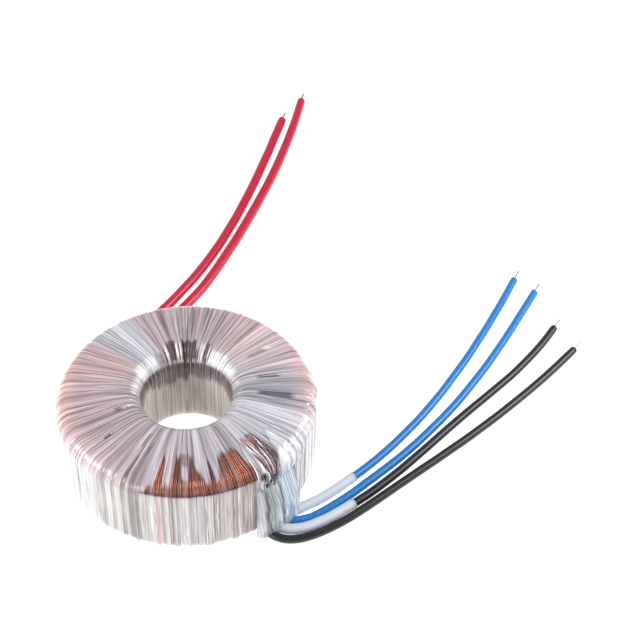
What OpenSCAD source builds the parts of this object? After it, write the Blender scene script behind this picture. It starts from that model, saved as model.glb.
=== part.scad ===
// Toroidal mains transformer with six flying leads, lying on its flat side.
// Millimetres. The origin is the middle of the underside, and +Z is the axis of the ring.
// From the middle outwards the ring holds a strip-wound steel core, its insulation, the primary
// winding, a film barrier, two secondary windings with film between them, and the clear film wrap.

/* [Body] */
// Diameter over the film wrap
body_d = 80; // [76:1:100]
// Height over the film wrap, at the crown next to the hole
body_h = 30.5; // [28:0.5:40]
// Diameter of the centre hole through the film wrap
hole_d = 27; // [22:0.5:29]
// Radius of the outer edges
outer_edge_r = 5; // [4:0.25:6]
// Radius of the edges around the hole
inner_edge_r = 6; // [5:0.25:7]
// Fall of each face from the crown to the outer edge
crown = 0.9; // [0.4:0.1:1.5]
// Width of the flat ring around the hole that the part stands on
seat_w = 4; // [3:0.5:6]

/* [Film wrap] */
// Thickness of the wrap on the outer wall
wrap_t = 0.6; // [0.5:0.05:1]
// Thickness of the wrap on the two faces
wrap_face_t = 0.6; // [0.5:0.05:1]
// Thickness of the wrap in the hole, where its turns crowd together
wrap_hole_t = 1; // [0.8:0.1:1.6]
// Number of visible turns of film around the ring
wrap_turns = 84; // [60:1:100]
// Height of the step where one turn of film laps over the last
wrap_step = 0.3; // [0.1:0.05:0.35]

/* [Secondary windings] */
// Diameter of the secondary wire, and thickness of each secondary on the outer wall
secondary_wire_d = 0.7; // [0.5:0.05:1]
// Thickness of each secondary on the two faces
secondary_face_t = 1.1; // [0.8:0.1:1.4]
// Thickness of each secondary in the hole, where its turns pile up
secondary_hole_t = 1.6; // [1.2:0.1:2]
// Number of wire ridges around the outer secondary
ridge_count = 96; // [60:2:120]
// Depth of the grooves between the ridges
ridge_depth = 0.2; // [0.1:0.05:0.25]
// Thickness of the film between the two secondaries
secondary_film_t = 0.2; // [0.1:0.05:0.4]

/* [Primary winding] */
// Thickness of the primary on the outer wall
primary_t = 1.3; // [1:0.1:1.8]
// Thickness of the primary on the two faces
primary_face_t = 1.7; // [1.3:0.1:2.2]
// Thickness of the primary in the hole
primary_hole_t = 2.4; // [1.8:0.1:3]
// Thickness of the film barrier between the primary and the secondaries
barrier_t = 0.4; // [0.2:0.05:0.6]

/* [Core] */
// Thickness of the insulation around the core
core_insulation_t = 0.5; // [0.3:0.1:1]
// Number of grooves that mark the turns of the steel strip on each face
strip_grooves = 8; // [4:1:12]
// Depth of each groove between two turns of the strip
strip_groove_depth = 0.2; // [0.1:0.05:0.3]
// Width of each groove between two turns of the strip
strip_groove_w = 0.15; // [0.1:0.05:0.3]

/* [Leads] */
// Diameter over the insulation of each red mains lead
mains_lead_d = 3.4; // [3:0.1:3.5]
// Diameter over the insulation of each blue or black lead
lead_d = 2.7; // [2.4:0.1:2.8]
// Diameter of the tinned conductor
conductor_d = 1; // [0.7:0.1:1.4]
// Length of the stripped end of each lead
strip_len = 5; // [3:0.5:8]
// Wall thickness of the white sleeves
sleeve_t = 0.2; // [0.15:0.05:0.3]

/* [Lead exits] */
// Angle of the front exit's middle, from +X towards +Y
front_exit_angle = -50.5; // [-51:0.25:-50]
// Angle of the rear exit's middle
rear_exit_angle = 125; // [124.5:0.25:125.5]
// Angle that each exit cover spans
exit_span = 23; // [22:0.5:24]
// How far an exit cover stands out from the wrap
exit_depth = 3.6; // [3.5:0.05:4]
// Height of the top edge of an exit cover
exit_top = 24; // [23:0.5:25]
// Film thickness of the exit covers
exit_film_t = 0.5; // [0.4:0.05:0.6]
// Angle that the front flap of film spans over the top edge
flap_span = 26; // [20:1:30]
// Distance from the axis at which the flap of film ends on the top face
flap_reach_r = 28; // [27:0.5:30]
// Thickness of the flap of film
flap_t = 0.2; // [0.1:0.05:0.25]
// Diameter of each soldered joint
joint_d = 1.7; // [1.4:0.1:1.8]
// Length of each soldered joint
joint_len = 7; // [5:0.5:8]
// Thickness of the insulating pad behind the joints
pad_t = 0.2; // [0.1:0.05:0.25]

/* [Hidden] */

// Clearances
layer_gap = 0.05;     // between one layer of the ring and the next
hole_clearance = 0.15; // around a lead where it passes through the film
sleeve_clearance = 0.1; // around a lead inside its sleeve
eps = 0.01;           // run-through of a cut past a face

// Where the leads lie: they leave the ring low down and settle on the ground.
// Each point is [x, y, lift of the lead's underside], with x and y from the place on the ring's outer
// wall at the middle of the leads' exit.
function from_exit(points, exit_angle, d) =
    [for (p = points) p + [body_d / 2 * cos(exit_angle), body_d / 2 * sin(exit_angle), d / 2]];
RED_1 = from_exit([
    [1.4, 3.2, 0.9], [2.2, 7.94, 0.5], [4.9, 12.75, 0], [8.8, 17.25, 0], [13.4, 21.85, 0],
    [18, 26.35, 0], [22.3, 31.05, 0], [26.5, 36.35, 0], [30.6, 42.15, 0], [34.1, 48.05, 0],
    [37.4, 54.05, 0], [40.6, 60.25, 0], [43.9, 66.65, 0], [46.8, 72.75, 0], [49.9, 79.35, 0],
    [52.9, 85.95, 0], [55.8, 92.55, 0], [58.4, 98.55, 0], [61, 104.95, 0], [63.5, 111.45, 0],
    [66, 118.35, 0], [68.3, 124.85, 0], [70.4, 131.25, 0], [72.4, 137.75, 0], [74.4, 144.75, 0],
    [76.4, 151.85, 0]
], rear_exit_angle, mains_lead_d);
RED_2 = from_exit([
    [-3.1, 0.2, 0.9], [-2.9, 4.94, 0.5], [-0.6, 10.65, 0], [3.2, 16.35, 0], [7.3, 21.35, 0],
    [11.6, 26.35, 0], [15.9, 31.55, 0], [19.8, 36.45, 0], [24, 42.25, 0], [28, 48.05, 0],
    [31.8, 54.15, 0], [35.2, 60.15, 0], [38.6, 66.55, 0], [41.8, 73.25, 0], [44.9, 79.85, 0],
    [47.7, 86.45, 0], [50.4, 92.95, 0], [53, 99.45, 0], [55.6, 106.35, 0], [58, 112.85, 0],
    [60.4, 119.35, 0], [62.8, 126.35, 0], [65.1, 132.85, 0], [67.4, 139.35, 0]
], rear_exit_angle, mains_lead_d);
BLUE_1 = from_exit([
    [4.6, 2.4, 0.9], [6.8, 3.7, 0.8], [9.7, 5.3, 0.5], [14, 7.5, 0.3], [19.4, 11, 0.3],
    [25.2, 15.3, 0.3], [30.2, 19.3, 0.1], [35.6, 24, 0], [40.5, 28.6, 0], [45.4, 33.6, 0],
    [50, 38.5, 0], [54.6, 43.9, 0], [59.1, 49.4, 0], [63.6, 55.4, 0], [67.7, 60.9, 0],
    [71.6, 66.4, 0], [75.6, 72.4, 0], [79.6, 78.4, 0], [83.1, 83.9, 0], [86.6, 89.4, 0],
    [90.5, 95.9, 0], [94.1, 101.9, 0]
], front_exit_angle, lead_d);
BLUE_2 = from_exit([
    [2.6, -0.1, 0.9], [5.6, -0.5, 0.6], [8.4, 0.1, 0.2], [11.5, 1.2, 0], [17, 4.3, 0],
    [23.2, 8.4, 0], [29.3, 13, 0], [34.6, 17.1, 0], [40.6, 21.9, 0], [46.6, 27.2, 0],
    [52.4, 32.8, 0], [57.9, 38.4, 0], [63.4, 44.4, 0], [68, 49.9, 0], [72.5, 55.5, 0],
    [76.7, 60.9, 0], [80.7, 66.4, 0], [84.9, 72.3, 0], [88.7, 77.8, 0], [92.5, 83.5, 0],
    [96.5, 89.4, 0], [100.1, 94.9, 0]
], front_exit_angle, lead_d);
BLACK_1 = from_exit([
    [-0.4, -2.6, 0.9], [2.8, -3.5, 0.6], [6.2, -3.5, 0.4], [10.1, -2.6, 0.3], [16.6, 0.3, 0.3],
    [24.1, 4.8, 0.3], [29.5, 8.5, 0.1], [34.9, 12.6, 0], [40.7, 17.3, 0], [46.3, 22.2, 0],
    [51.9, 27.2, 0], [57.4, 32.2, 0], [62.7, 36.9, 0], [68.1, 41.6, 0], [73.4, 46.1, 0],
    [79, 50.9, 0], [84, 55.3, 0], [89.1, 60.3, 0], [94.1, 65.5, 0], [98.8, 70.9, 0],
    [103.1, 76.4, 0]
], front_exit_angle, lead_d);
BLACK_2 = from_exit([
    [-2.9, -4.6, 0.9], [-0.7, -6.1, 0.5], [2.3, -7, 0.1], [6.1, -7, 0], [10, -6.1, 0],
    [14, -4.6, 0], [18.7, -2.3, 0], [23.2, 0.3, 0], [28.1, 3.5, 0], [33.6, 7.3, 0],
    [39.7, 11.6, 0], [45.6, 15.7, 0], [51.7, 19.9, 0], [57.5, 24, 0], [63.6, 28.3, 0],
    [69.6, 32.8, 0], [75.5, 37.3, 0], [81.1, 41.8, 0], [86.6, 46.3, 0], [92.1, 51, 0],
    [97.7, 56, 0], [102.6, 60.6, 0], [107.6, 65.4, 0]
], front_exit_angle, lead_d);
// Both sleeves end at this point of their lead's route
SLEEVE_LAST = 5;

// Radii of the ring
body_r = body_d / 2;
hole_r = hole_d / 2;
exit_inner_r = body_r + layer_gap;
sleeve_bore = lead_d + 2 * sleeve_clearance;
sleeve_d = sleeve_bore + 2 * sleeve_t;

// How far each layer's outer surface lies inside the wrap's outer surface:
// [on the outer wall, on the faces, in the hole]
function below(depth, t) = [for (i = [0:2]) depth[i] + t[i] + layer_gap];
wrap_layer = [wrap_t, wrap_face_t, wrap_hole_t];
secondary_layer = [secondary_wire_d, secondary_face_t, secondary_hole_t];
secondary_film_layer = [secondary_film_t, secondary_film_t, secondary_film_t * 1.5];
barrier_layer = [barrier_t, barrier_t, barrier_t * 1.5];
primary_layer = [primary_t, primary_face_t, primary_hole_t];
core_insulation_layer = [core_insulation_t, core_insulation_t, core_insulation_t * 1.2];

depth_secondary_2 = below([0, 0, 0], wrap_layer);
depth_secondary_film = below(depth_secondary_2, secondary_layer);
depth_secondary_1 = below(depth_secondary_film, secondary_film_layer);
depth_barrier = below(depth_secondary_1, secondary_layer);
depth_primary = below(depth_barrier, barrier_layer);
depth_core_insulation = below(depth_primary, primary_layer);
depth_core = below(depth_core_insulation, core_insulation_layer);

// Points along an arc in the section plane
function arc(centre, r, from, to, steps) = [
    for (i = [0:steps]) let (a = from + (to - from) * i / steps)
        [centre[0] + r * cos(a), centre[1] + r * sin(a)]
];

// The lower half of a layer's section, and the whole section, as [r, z] points.
// The face is flat next to the hole and falls away to the outer edge.
min_edge_r = 0.4;
function edge_r(r, depth) = max(r - depth, min_edge_r);
function half_section(depth, steps) =
    let (
        r_out = body_r - depth[0],
        r_in = hole_r + depth[2],
        bottom = depth[1],
        fall = crown * max(1 - depth[1] / depth_core[1], 0),
        outer_r = edge_r(outer_edge_r, min(depth[0], depth[1])),
        inner_r = edge_r(inner_edge_r, min(depth[1], depth[2]))
    )
    concat(
        arc([r_in + inner_r, bottom + inner_r], inner_r, 180, 270, steps),
        arc([r_out - outer_r, bottom + fall + outer_r], outer_r, 270, 360, steps)
    );
function mirrored(points) = [
    for (i = [len(points) - 1:-1:0]) [points[i][0], body_h - points[i][1]]
];
function section(depth, steps = 6) =
    let (half = half_section(depth, steps)) concat(half, mirrored(half));

module ring_solid(depth) {
    rotate_extrude($fn = 120)
        polygon(section(depth));
}

// One closed shell of the ring, from its outer surface down to the outer surface of what it holds
module ring_shell(depth, t) {
    inner = [for (i = [0:2]) depth[i] + t[i]];
    rotate_extrude($fn = 120)
        difference() {
            polygon(section(depth));
            polygon(section(inner));
        }
}

// ---- Surfaces with turns: a closed outline carried around the axis in small steps ----

// Outline points are [r, z, share of the turn's relief that applies there]
function outline_normal(p, i) =
    let (
        n = len(p),
        a = p[(i + n - 1) % n],
        b = p[(i + 1) % n],
        d = [b[0] - a[0], b[1] - a[1]]
    )
    [d[1], -d[0]] / norm(d);

// relief lists how far the surface is pressed in at each step of one turn, and at holds the places
// of those steps as shares of the turn
module turned_ring(outline, turns, at, relief) {
    m = len(outline);
    k = len(at);
    normals = [for (i = [0:m - 1]) outline_normal(outline, i)];
    points = [
        for (t = [0:turns - 1]) for (s = [0:k - 1])
            let (a = 360 * (t + at[s]) / turns)
            for (i = [0:m - 1])
                let (
                    press = relief[s] * outline[i][2],
                    r = outline[i][0] - normals[i][0] * press,
                    z = outline[i][1] - normals[i][1] * press
                )
                [r * cos(a), r * sin(a), z]
    ];
    stations = turns * k;
    faces = [
        for (j = [0:stations - 1]) for (i = [0:m - 1])
            let (
                j2 = (j + 1) % stations,
                i2 = (i + 1) % m,
                a = j * m + i,
                b = j2 * m + i,
                c = j2 * m + i2,
                d = j * m + i2
            )
            each [[a, c, b], [a, d, c]]
    ];
    polyhedron(points = points, faces = faces, convexity = 6);
}

// ---- Core and windings ----

core_r_in = hole_r + depth_core[2];
core_r_out = body_r - depth_core[0];

module core() {
    color([0.42, 0.43, 0.45])
        rotate_extrude($fn = 120)
            difference() {
                polygon(section(depth_core, 2));
                for (i = [1:strip_grooves]) {
                    r = core_r_in + (core_r_out - core_r_in) * i / (strip_grooves + 1);
                    for (z = [depth_core[1], body_h - depth_core[1]])
                        translate([r, z])
                            square([strip_groove_w, 2 * strip_groove_depth], center = true);
                }
            }
}

module core_insulation() {
    color([0.95, 0.93, 0.85])
        ring_shell(depth_core_insulation, core_insulation_layer);
}

module primary_winding() {
    color([0.62, 0.26, 0.13])
        ring_shell(depth_primary, primary_layer);
}

module film_barrier() {
    color([0.93, 0.9, 0.6])
        ring_shell(depth_barrier, barrier_layer);
}

module secondary_winding_1() {
    color([0.66, 0.3, 0.15])
        ring_shell(depth_secondary_1, secondary_layer);
}

module secondary_film() {
    color([0.9, 0.9, 0.92])
        ring_shell(depth_secondary_film, secondary_film_layer);
}

// The outer secondary shows its turns as ridges that run around the ring's section
module secondary_winding_2() {
    inner = [for (i = [0:2]) depth_secondary_2[i] + secondary_layer[i]];
    outline = [for (p = section(depth_secondary_2, 2)) [p[0], p[1], 1]];
    color([0.72, 0.33, 0.16])
        difference() {
            turned_ring(outline, ridge_count, [0, 0.5], [0, ridge_depth]);
            ring_solid(inner);
        }
}

// ---- Film wrap ----

// The wrap's section slopes through the hole's wall, so that the hole is cut in it as a cylinder
lip_angle = 25;     // slope of the edge of the hole, from upright
lip_run = 0.6;      // distance from the wall of the hole to the start of its rounded edge
hole_overcut = 1;   // how far the section runs into the hole
lip_r = hole_r + lip_run + inner_edge_r * cos(lip_angle);
lip_z = inner_edge_r * (1 - sin(lip_angle));

function wrap_half_outline() =
    let (
        overcut_z = lip_z + (lip_run + hole_overcut) / tan(lip_angle),
        edge = arc([lip_r, inner_edge_r], inner_edge_r, 180 + lip_angle, 270, 3),
        corner = arc([body_r - outer_edge_r, crown + outer_edge_r], outer_edge_r, 270, 360, 3)
    )
    concat(
        [[hole_r - hole_overcut, overcut_z, 0]],
        [for (p = edge) [p[0], p[1], 0]],
        [[lip_r + seat_w, 0, 0]],
        [for (p = corner) [p[0], p[1], 1]]
    );
function wrap_outline() =
    let (half = wrap_half_outline())
    concat(half, [for (i = [len(half) - 1:-1:0]) [half[i][0], body_h - half[i][1], half[i][2]]]);

// The winding ends come out to the joints through one slot in the wall of the wrap at each exit
slot_z = exit_top / 2 + 1;
slot_h = 5;
module wire_slot(angle) {
    slot_span = exit_span - 2;
    rotate([0, 0, angle - slot_span / 2])
        rotate_extrude(angle = slot_span, $fn = 120)
            translate([body_r - 2 * wrap_t, slot_z])
                square([3 * wrap_t, slot_h]);
}

module outer_wrap() {
    color([0.82, 0.77, 0.78])
        difference() {
            turned_ring(wrap_outline(), wrap_turns, [0, 0.8], [0, wrap_step]);
            ring_solid(wrap_layer);
            translate([0, 0, -eps])
                cylinder(r = hole_r, h = body_h + 2 * eps, $fn = 120);
            wire_slot(front_exit_angle);
            wire_slot(rear_exit_angle);
        }
}

// ---- Leads ----

function lead_dir(route, i) =
    let (
        n = len(route) - 1,
        d = route[min(i + 1, n)] - route[max(i - 1, 0)]
    )
    d / norm(d);

lead_sides = 8;
function ring_points(route, i, r) =
    let (
        d = lead_dir(route, i),
        side = cross(d, [0, 0, 1]) / norm(cross(d, [0, 0, 1])),
        up = cross(side, d)
    )
    [
        for (k = [0:lead_sides - 1]) let (a = 360 * (k + 0.5) / lead_sides)
            route[i] + r * (cos(a) * side + sin(a) * up)
    ];

// A lead: rings of points at the places of its route, joined side to side, closed at both ends
module lead(route, r) {
    n = len(route);
    s = lead_sides;
    points = [for (i = [0:n - 1]) each ring_points(route, i, r)];
    sides = [
        for (i = [0:n - 2]) for (k = [0:s - 1])
            [i * s + k, i * s + (k + 1) % s, (i + 1) * s + (k + 1) % s, (i + 1) * s + k]
    ];
    start = [[for (k = [s - 1:-1:0]) k]];
    end = [[for (k = [0:s - 1]) (n - 1) * s + k]];
    polyhedron(points = points, faces = concat(sides, start, end), convexity = 10);
}

// A sleeve: the same rings twice, outside and inside, joined by a flat ring at both ends
module sleeve(route, r_out, r_in) {
    n = len(route);
    s = lead_sides;
    inside = n * s;
    last = (n - 1) * s;
    points = concat(
        [for (i = [0:n - 1]) each ring_points(route, i, r_out)],
        [for (i = [0:n - 1]) each ring_points(route, i, r_in)]
    );
    faces = [
        for (i = [0:n - 2]) for (k = [0:s - 1])
            let (a = i * s + k, b = i * s + (k + 1) % s)
            each [[a, b, b + s, a + s], [inside + a + s, inside + b + s, inside + b, inside + a]]
    ];
    ends = [
        for (k = [0:s - 1]) let (k2 = (k + 1) % s)
            each [
                [k2, k, inside + k, inside + k2],
                [last + k, last + k2, inside + last + k2, inside + last + k]
            ]
    ];
    polyhedron(points = points, faces = concat(faces, ends), convexity = 10);
}

// Turns +Z to a direction
module point_along(d) {
    rotate([0, acos(d[2] / norm(d)), atan2(d[1], d[0])])
        children();
}

// The stripped and tinned end of a lead
module lead_end(route) {
    n = len(route) - 1;
    color([0.8, 0.8, 0.8])
        translate(route[n])
            point_along(lead_dir(route, n))
                cylinder(d = conductor_d, h = strip_len, $fn = 24);
}

function sleeve_route(route) = [for (i = [0:SLEEVE_LAST]) route[i]];

module coloured_lead(route, d, c) {
    color(c)
        lead(route, d / 2);
}

module white_sleeve(route) {
    color([0.93, 0.93, 0.95])
        sleeve(sleeve_route(route), sleeve_d / 2, sleeve_bore / 2);
}

// ---- Lead exits ----

// The hole through an exit cover for one lead or its sleeve
module lead_hole(route, d) {
    translate(route[0])
        point_along(lead_dir(route, 0))
            cylinder(d = d + 2 * hole_clearance, h = 3 * exit_depth, $fn = 32);
}

// A blister of film over the joints, on a grid of points. u runs from -1 to 1 around the ring and v
// from 0 to 1 up it. It stands out steeply at its sides and foot, and fades into the wrap at its top.
exit_base = 0.1;        // height of the blister's lower edge above the ground
foot_share = 0.12;      // share of its height in which the foot reaches the full depth
shoulder_share = 0.4;   // share of its height at which it starts to fade
grid_u = 14;
grid_v = 12;
function blister_side(u) = sqrt(max(1 - pow(abs(u), 6), 0));
function blister_rise(v) =
    v < foot_share ? sqrt(1 - pow(1 - v / foot_share, 2)) :
    v < shoulder_share ? 1 :
    (1 + cos(180 * (v - shoulder_share) / (1 - shoulder_share))) / 2;

// One skin of the blister: its outer side, or its inner side with everything drawn in by inset
function blister_skin(angle, inset) =
    let (
        half_span = exit_span / 2 - inset / body_r * 180 / PI,
        low = exit_base + inset,
        high = exit_top - 2 * inset
    )
    [
        for (j = [0:grid_v]) for (i = [0:grid_u])
            let (
                u = 2 * i / grid_u - 1,
                v = pow(j / grid_v, 1.6),
                a = angle + half_span * u,
                r = exit_inner_r + layer_gap + (exit_depth - inset) * blister_side(u) * blister_rise(v)
            )
            [r * cos(a), r * sin(a), low + (high - low) * v]
    ];

// The grid's border, once round
function grid_border() =
    let (w = grid_u + 1)
    concat(
        [for (i = [0:grid_u]) i],
        [for (j = [1:grid_v]) j * w + grid_u],
        [for (i = [grid_u - 1:-1:0]) grid_v * w + i],
        [for (j = [grid_v - 1:-1:1]) j * w]
    );

module exit_blister(angle) {
    w = grid_u + 1;
    skin = w * (grid_v + 1);
    border = grid_border();
    n = len(border);
    faces = [
        for (j = [0:grid_v - 1]) for (i = [0:grid_u - 1])
            let (a = j * w + i, b = a + 1, c = b + w, d = a + w)
            each [
                [a, c, b], [a, d, c],
                [skin + a, skin + b, skin + c], [skin + a, skin + c, skin + d]
            ]
    ];
    rim = [
        for (k = [0:n - 1])
            let (a = border[k], b = border[(k + 1) % n])
            each [[a, b, skin + b], [a, skin + b, skin + a]]
    ];
    polyhedron(
        points = concat(blister_skin(angle, 0), blister_skin(angle, exit_film_t)),
        faces = concat(faces, rim),
        convexity = 8
    );
}

// The flap of film that runs from the front exit cover over the top edge
module top_flap() {
    corner = [body_r - outer_edge_r, body_h - crown - outer_edge_r];
    inner_r = outer_edge_r + layer_gap;
    flap_low_z = slot_z + slot_h + 1;
    fall = crown / (body_r - outer_edge_r - lip_r - seat_w);
    reach_z = body_h - fall * (flap_reach_r - lip_r - seat_w) + layer_gap;
    inner = concat(
        [[flap_reach_r, reach_z]],
        arc(corner, inner_r, 90, 0, 6),
        [[exit_inner_r, flap_low_z]]
    );
    outer = concat(
        [[exit_inner_r + flap_t, flap_low_z]],
        arc(corner, inner_r + flap_t, 0, 90, 6),
        [[flap_reach_r, reach_z + flap_t]]
    );
    flap_start = front_exit_angle - 1;
    rotate([0, 0, flap_start])
        rotate_extrude(angle = flap_span, $fn = 120)
            polygon(concat(inner, outer));
}

module front_exit_cover() {
    color([0.86, 0.9, 0.92])
        difference() {
            union() {
                exit_blister(front_exit_angle);
                top_flap();
            }
            lead_hole(BLUE_1, sleeve_d);
            lead_hole(BLUE_2, lead_d);
            lead_hole(BLACK_1, sleeve_d);
            lead_hole(BLACK_2, lead_d);
        }
}

module rear_exit_cover() {
    color([0.86, 0.9, 0.92])
        difference() {
            exit_blister(rear_exit_angle);
            lead_hole(RED_1, mains_lead_d);
            lead_hole(RED_2, mains_lead_d);
        }
}

// The pad that keeps the joints off the windings, under the slot for the winding ends
joint_z = 5.5;      // height of the lower end of each joint
pad_margin = 2;     // angle between each end of the pad and that end of its exit cover
module joint_pad(angle) {
    pad_span = exit_span - 2 * pad_margin;
    color([0.95, 0.85, 0.35])
        rotate([0, 0, angle - pad_span / 2])
            rotate_extrude(angle = pad_span, $fn = 120)
                translate([exit_inner_r + layer_gap, joint_z - 1])
                    square([pad_t, slot_z - joint_z]);
}

// A soldered joint: the lead's conductor turns up into the solder, and the winding's end leaves
// the top of it and goes in through the slot to the winding
module joint(route) {
    d = lead_dir(route, 0);
    flat = [d[0], d[1], 0] / norm([d[0], d[1], 0]);
    at = [route[0][0], route[0][1], 0] - 0.7 * conductor_d * flat;
    r = norm([at[0], at[1]]);
    wire_z = slot_z + slot_h / 2;
    touch_r = body_r - depth_secondary_2[0] + layer_gap;
    stub_d = 0.8 * conductor_d;
    elbow = 1.1;    // a bend is a little fatter than the wire
    translate([at[0], at[1], 0]) {
        translate([0, 0, route[0][2]]) {
            sphere(d = elbow * stub_d, $fn = 24);
            point_along(flat)
                cylinder(d = stub_d, h = 0.7 * conductor_d - 2 * layer_gap, $fn = 24);
            cylinder(d = stub_d, h = joint_z - route[0][2] + eps, $fn = 24);
        }
        translate([0, 0, joint_z])
            cylinder(d = joint_d, h = joint_len, $fn = 24);
        translate([0, 0, joint_z + joint_len - eps])
            cylinder(d = secondary_wire_d, h = wire_z - joint_z - joint_len + eps, $fn = 24);
        translate([0, 0, wire_z]) {
            sphere(d = elbow * secondary_wire_d, $fn = 24);
            point_along([-at[0], -at[1], 0])
                cylinder(d = secondary_wire_d, h = r - touch_r, $fn = 24);
        }
    }
}

module joint_pair(route_a, route_b) {
    color([0.75, 0.75, 0.76]) {
        joint(route_a);
        joint(route_b);
    }
}

red = [0.8, 0.13, 0.27];
blue = [0.11, 0.42, 0.78];
black = [0.15, 0.15, 0.17];

core();
core_insulation();
primary_winding();
film_barrier();
secondary_winding_1();
secondary_film();
secondary_winding_2();
outer_wrap();
front_exit_cover();
rear_exit_cover();
joint_pad(front_exit_angle);  // front_joint_pad
joint_pad(rear_exit_angle);  // rear_joint_pad
joint_pair(RED_1, RED_2);  // primary_joints
joint_pair(BLUE_1, BLUE_2);  // secondary_1_joints
joint_pair(BLACK_1, BLACK_2);  // secondary_2_joints
coloured_lead(RED_1, mains_lead_d, red);  // red_lead_1
coloured_lead(RED_2, mains_lead_d, red);  // red_lead_2
coloured_lead(BLUE_1, lead_d, blue);  // blue_lead_1
coloured_lead(BLUE_2, lead_d, blue);  // blue_lead_2
coloured_lead(BLACK_1, lead_d, black);  // black_lead_1
coloured_lead(BLACK_2, lead_d, black);  // black_lead_2
lead_end(RED_1);  // red_lead_1_end
lead_end(RED_2);  // red_lead_2_end
lead_end(BLUE_1);  // blue_lead_1_end
lead_end(BLUE_2);  // blue_lead_2_end
lead_end(BLACK_1);  // black_lead_1_end
lead_end(BLACK_2);  // black_lead_2_end
white_sleeve(BLUE_1);  // blue_lead_sleeve
white_sleeve(BLACK_1);  // black_lead_sleeve
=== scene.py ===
import math

import bpy
import numpy as np
from mathutils import Matrix, Vector


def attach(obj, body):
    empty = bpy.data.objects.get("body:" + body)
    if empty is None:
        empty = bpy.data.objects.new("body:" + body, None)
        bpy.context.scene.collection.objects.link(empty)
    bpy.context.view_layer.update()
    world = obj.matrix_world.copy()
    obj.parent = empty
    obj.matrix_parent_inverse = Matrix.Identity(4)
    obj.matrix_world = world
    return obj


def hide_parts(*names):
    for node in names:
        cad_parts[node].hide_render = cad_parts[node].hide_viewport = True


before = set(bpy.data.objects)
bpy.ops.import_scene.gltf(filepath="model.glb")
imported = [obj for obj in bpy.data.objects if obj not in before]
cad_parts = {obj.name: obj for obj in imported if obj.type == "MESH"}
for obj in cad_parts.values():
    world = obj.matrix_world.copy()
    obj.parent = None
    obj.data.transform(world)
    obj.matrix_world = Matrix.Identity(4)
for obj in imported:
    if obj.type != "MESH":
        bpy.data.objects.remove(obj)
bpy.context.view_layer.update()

MM = 0.001
TURN = 2 * math.pi

# ---- The ring's sizes, as in the part's source ----

BODY_R = 40 * MM
BODY_H = 30.5 * MM
HOLE_R = 13.5 * MM
OUTER_EDGE_R = 5 * MM
INNER_EDGE_R = 6 * MM
CROWN = 0.9 * MM            # fall of each face from beside the hole to the outer edge
SEAT_W = 4 * MM             # width of the flat ring around the hole
WRAP = (0.6 * MM, 0.6 * MM, 1.0 * MM)   # the film's thickness on the outer wall, faces and in the hole
WIRE_D = 0.7 * MM
FRONT_EXIT, REAR_EXIT = math.radians(-50.5), math.radians(125)
EXIT_SPAN = math.radians(23)
EXIT_DEPTH = 3.6 * MM
EXIT_TOP = 24 * MM
LAYER_GAP = 0.05 * MM        # between one layer of the ring and the next

# ---- The leads ----
# Their routes are as in the part's source, in mm: x and y from the place on the ring's outer wall at
# the middle of the leads' exit, and the lift of the lead's underside

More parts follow.
